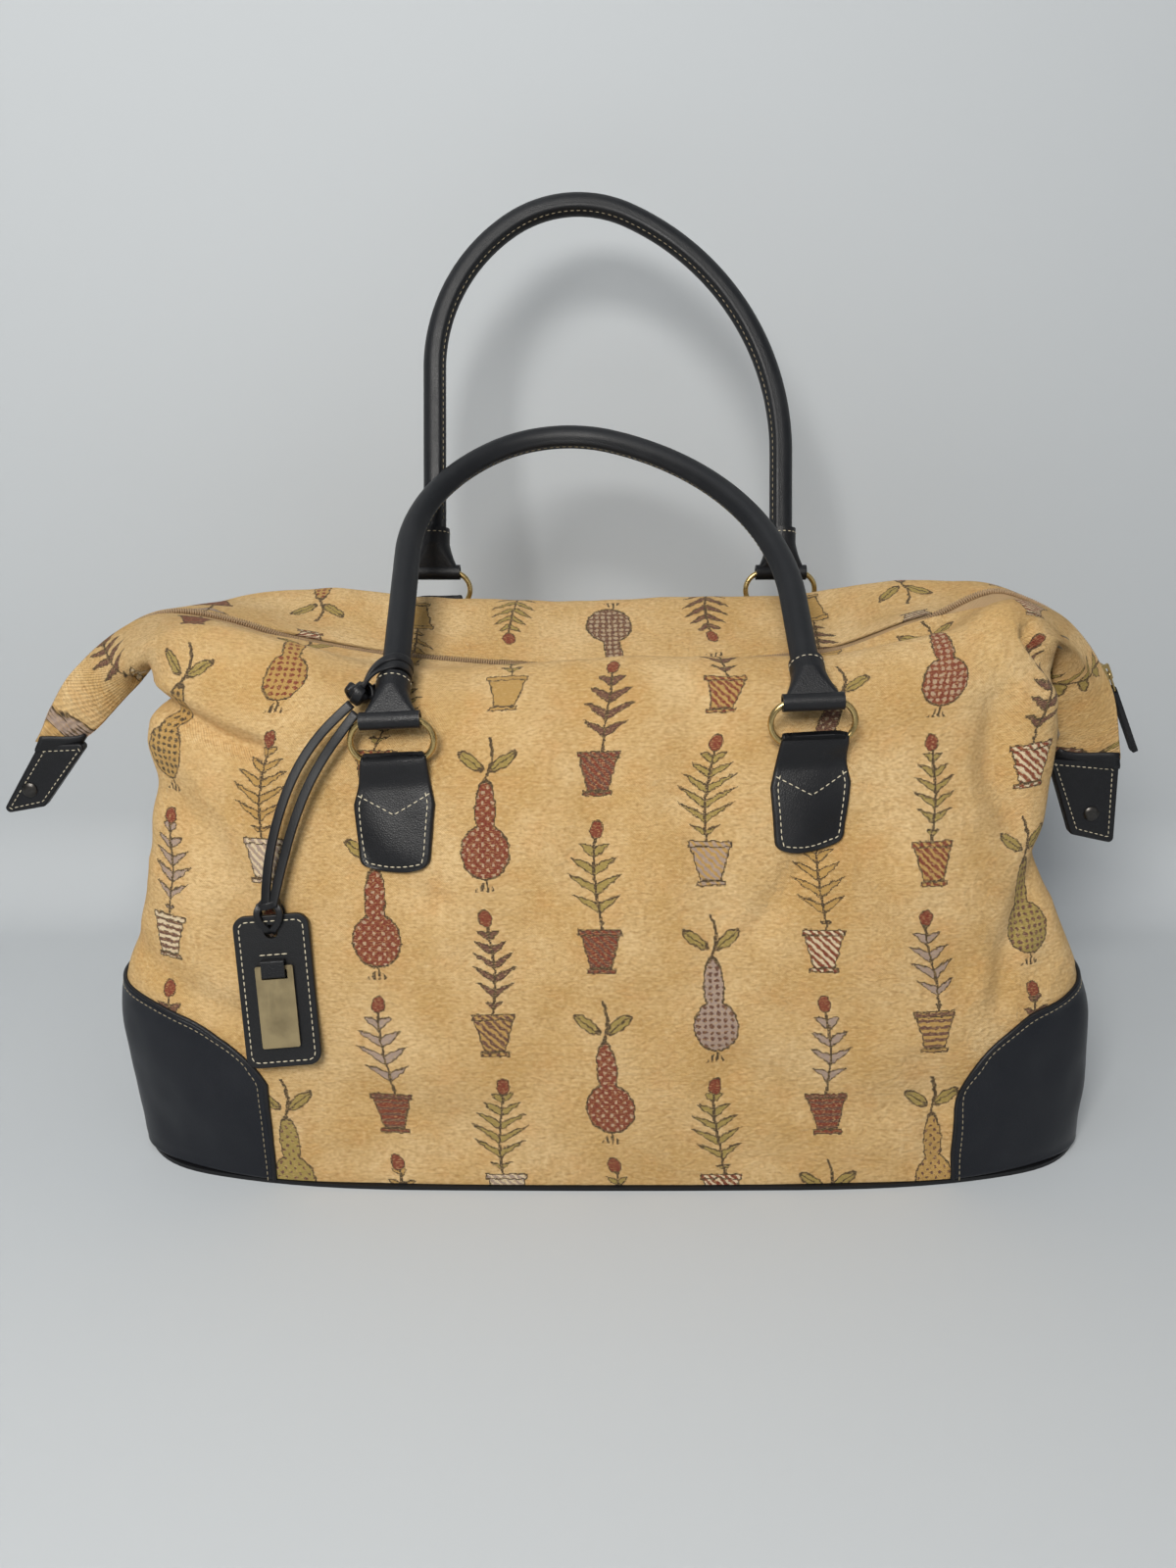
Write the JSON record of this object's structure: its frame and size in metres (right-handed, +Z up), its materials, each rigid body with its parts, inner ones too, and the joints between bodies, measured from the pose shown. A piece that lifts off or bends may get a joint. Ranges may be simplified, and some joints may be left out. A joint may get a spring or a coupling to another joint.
{
  "type": "canvas weekend bag",
  "caption": "Soft canvas weekend bag with woven pattern, black leather handles, corner patches and tag, brass rings and a zip top.",
  "frame": {"origin": "middle of the base, on the surface that the bag stands on", "axes": "+X along the bag to the right seen from its front, +Y from its front to its back, +Z up"},
  "size_m": [0.6173, 0.2771, 0.4811],
  "materials": {
    "canvas": "matte",
    "lining": "matte",
    "tape": "matte",
    "coil": "satin",
    "board": "matte",
    "trim_leather": "satin",
    "handle_leather": "satin",
    "tag_leather": "satin",
    "base_leather": "matte",
    "lace": "satin",
    "brass": "satin",
    "plate_brass": "satin"
  },
  "bodies": {
    "bag": {"front_panel": "canvas", "back_panel": "canvas", "lining_front": "lining", "lining_back": "lining", "lining_base": "lining", "base_panel": "base_leather", "base_board": "board", "left_corner_patch": "trim_leather", "right_corner_patch": "trim_leather", "left_wing_cap": "trim_leather", "right_wing_cap": "trim_leather", "left_cap_stud": "brass", "right_cap_stud": "brass", "zip_tape_front": "tape", "zip_tape_back": "tape", "zip_coil_front": "coil", "zip_coil_back": "coil", "front_left_tab": "trim_leather", "front_right_tab": "trim_leather", "back_left_tab": "trim_leather", "back_right_tab": "trim_leather"},
    "zip_slider_body": {"zip_slider": "brass"},
    "zip_pull": {"zip_pull_bail": "brass", "zip_pull_strap": "trim_leather"},
    "front_rings": {"front_left_ring": "brass", "front_right_ring": "brass"},
    "front_handle_body": {"front_handle": "handle_leather", "front_left_chape": "trim_leather", "front_right_chape": "trim_leather", "lace_wrap": "lace"},
    "lace": {"lace_knot": "lace", "lace_outer": "lace", "lace_inner": "lace", "lace_hitch": "lace"},
    "luggage_tag": {"tag": "tag_leather", "tag_loop": "trim_leather"},
    "name_plate": {"tag_plate": "plate_brass"},
    "back_rings": {"back_left_ring": "brass", "back_right_ring": "brass"},
    "back_handle_body": {"back_handle": "handle_leather", "back_left_chape": "trim_leather", "back_right_chape": "trim_leather"}
  },
  "joints": [
    {"name": "zip_slide_round", "type": "hinge", "parent": "bag", "child": "zip_slider_body", "pos_m": [0.187, 0, 0.2], "axis": [0, -1, 0], "range_deg": [0, 40]},
    {"name": "zip_pull_flip", "type": "hinge", "parent": "zip_slider_body", "child": "zip_pull", "pos_m": [0.26169, 0, 0.23643], "axis": [0, -1, 0], "range_deg": [0, 150]},
    {"name": "front_rings_swing", "type": "hinge", "parent": "bag", "child": "front_rings", "pos_m": [-0.006, -0.0736, 0.217], "axis": [0.999, 0, 0.0454], "range_deg": [0, 70]},
    {"name": "front_handle_swing", "type": "hinge", "parent": "front_rings", "child": "front_handle_body", "pos_m": [-0.0069, -0.07221, 0.23693], "axis": [0.999, 0, 0.0454], "range_deg": [0, 120]},
    {"name": "lace_swing", "type": "hinge", "parent": "front_handle_body", "child": "lace", "pos_m": [-0.1232, -0.058, 0.2415], "axis": [0.999, 0, 0.0454], "range_deg": [-190, 0]},
    {"name": "tag_swing", "type": "hinge", "parent": "lace", "child": "luggage_tag", "pos_m": [-0.16515, -0.09912, 0.14106], "axis": [0.9966, 0.067, 0.0481], "range_deg": [-70, 0]},
    {"name": "name_plate_swing", "type": "hinge", "parent": "luggage_tag", "child": "name_plate", "pos_m": [-0.16355, -0.10705, 0.11909], "axis": [0.9966, 0.067, 0.0481], "range_deg": [-75, 0]},
    {"name": "back_rings_swing", "type": "hinge", "parent": "bag", "child": "back_rings", "pos_m": [-0.0015, 0.0744, 0.2555], "axis": [1, 0, 0], "range_deg": [-80, 0]},
    {"name": "back_handle_swing", "type": "hinge", "parent": "back_rings", "child": "back_handle_body", "pos_m": [-0.0015, 0.07649, 0.27539], "axis": [1, 0, 0], "range_deg": [-67, 0]}
  ],
  "couplings": [
    {"joint": "front_rings_swing", "follows": "front_handle_swing", "ratio": 0.58333},
    {"joint": "lace_swing", "follows": "front_handle_swing", "ratio": -1.5833}
  ]
}
